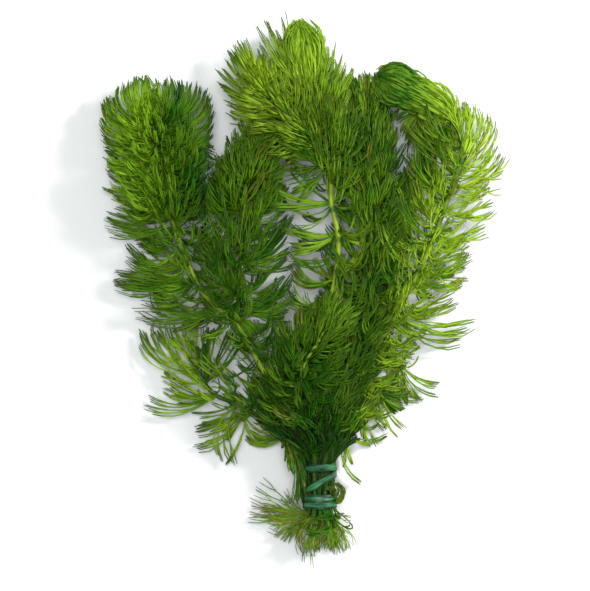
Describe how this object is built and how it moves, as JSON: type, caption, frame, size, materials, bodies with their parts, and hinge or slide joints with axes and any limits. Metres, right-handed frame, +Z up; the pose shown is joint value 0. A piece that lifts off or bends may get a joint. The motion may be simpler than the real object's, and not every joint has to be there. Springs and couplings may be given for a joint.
{
  "type": "hornwort bunch",
  "caption": "Bunch of hornwort stems with whorls of fine forked leaves, tied near the cut ends with a green band and lying flat.",
  "frame": {"origin": "middle of the footprint of the lying bunch, on the surface that it rests on", "axes": "+Y runs from the cut ends to the growing tips, +Z points up from the surface, +X is to the right"},
  "size_m": [0.1821, 0.2476, 0.038],
  "materials": {
    "bright_foliage": "satin",
    "deep_foliage": "satin",
    "band": "satin"
  },
  "bodies": {
    "root": {"left_stem": "deep_foliage", "inner_left_shoot": "deep_foliage", "middle_stem": "bright_foliage", "middle_side_shoot": "bright_foliage", "right_stem": "bright_foliage", "back_stem": "deep_foliage", "front_shoot": "deep_foliage", "lower_left_shoot": "bright_foliage", "lower_right_shoot": "bright_foliage", "tie_band": "band"}
  },
  "joints": []
}
